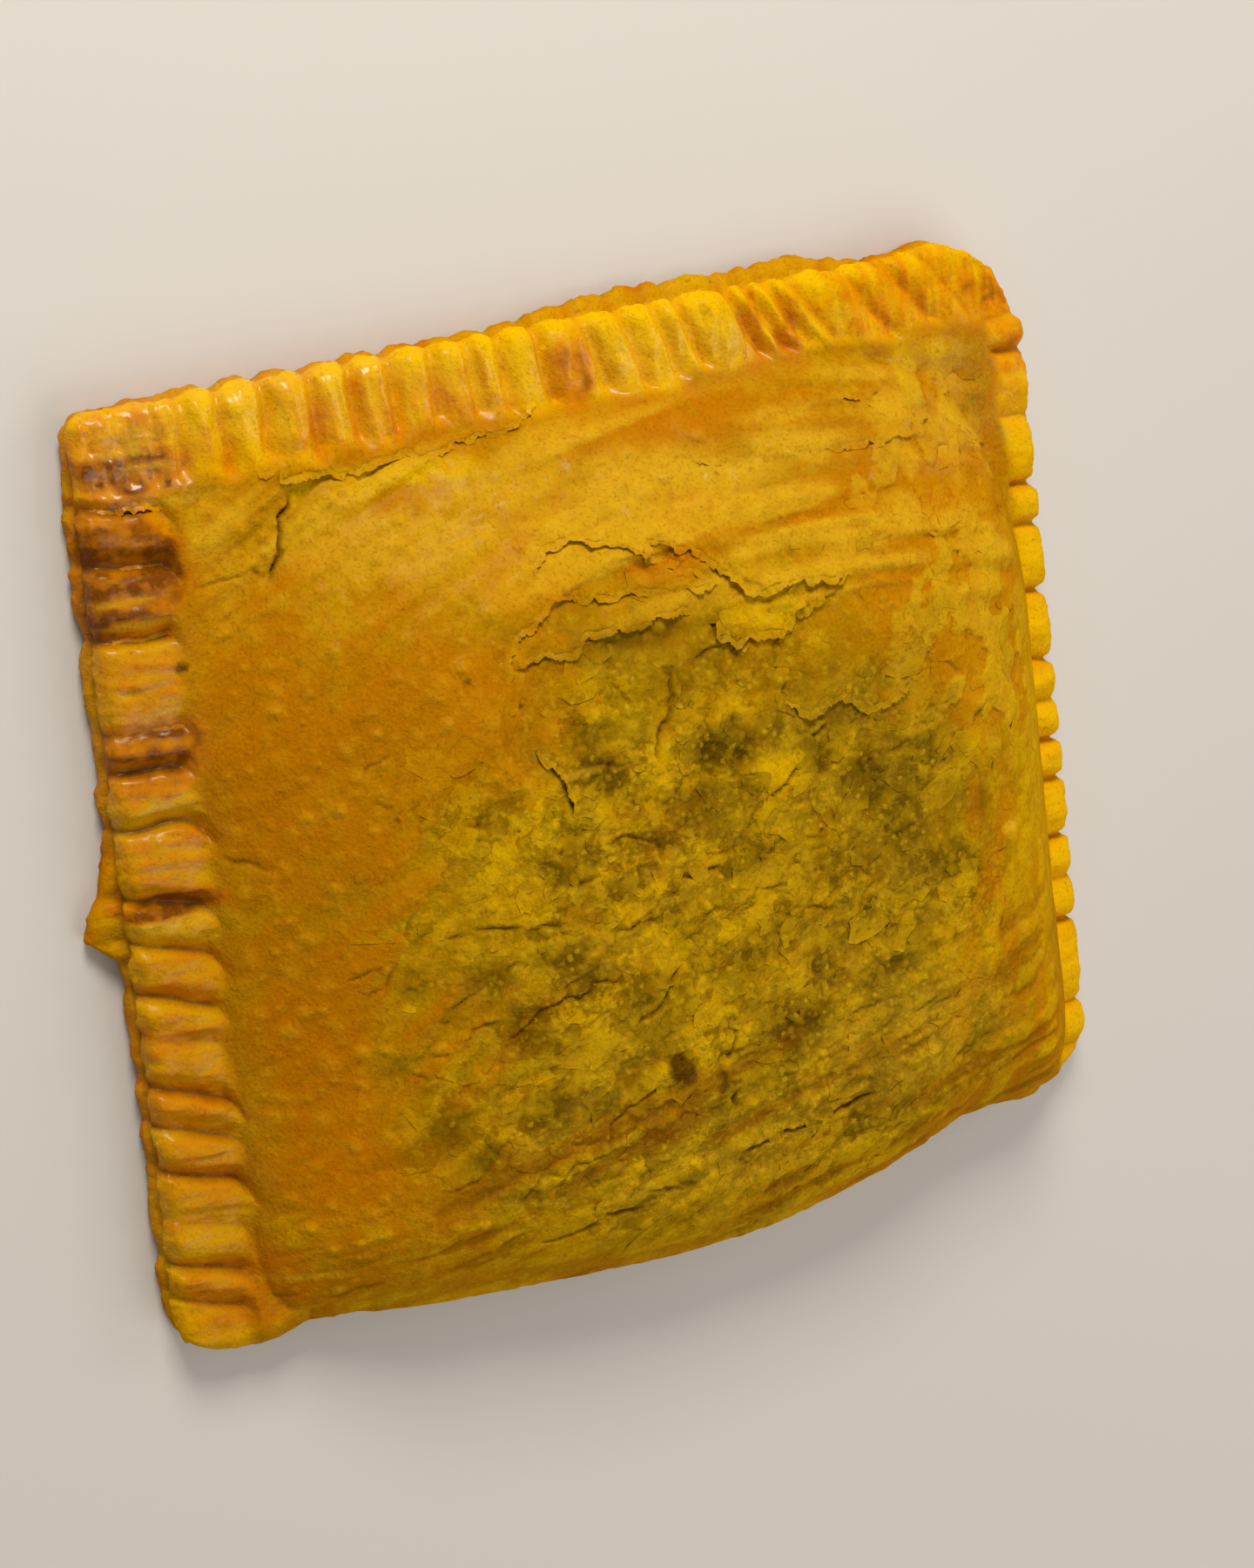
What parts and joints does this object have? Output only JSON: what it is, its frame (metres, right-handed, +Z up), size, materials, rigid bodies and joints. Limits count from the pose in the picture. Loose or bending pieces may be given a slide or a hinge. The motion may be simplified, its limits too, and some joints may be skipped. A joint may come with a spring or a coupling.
{
  "type": "jamaican patty",
  "caption": "Baked hand pie with a domed filled body, fork-crimped rims on three sides and a rolled fold along the fourth.",
  "frame": {"origin": "under the middle of the pie's bounding box, on the surface it lies on", "axes": "+Z up out of the domed face, +Y towards the top crimped rim, away from the fold, +X to the right with the fold nearest"},
  "size_m": [0.1399, 0.127, 0.0228],
  "materials": {
    "crust": null
  },
  "bodies": {
    "root": {"patty": "crust"}
  },
  "joints": []
}
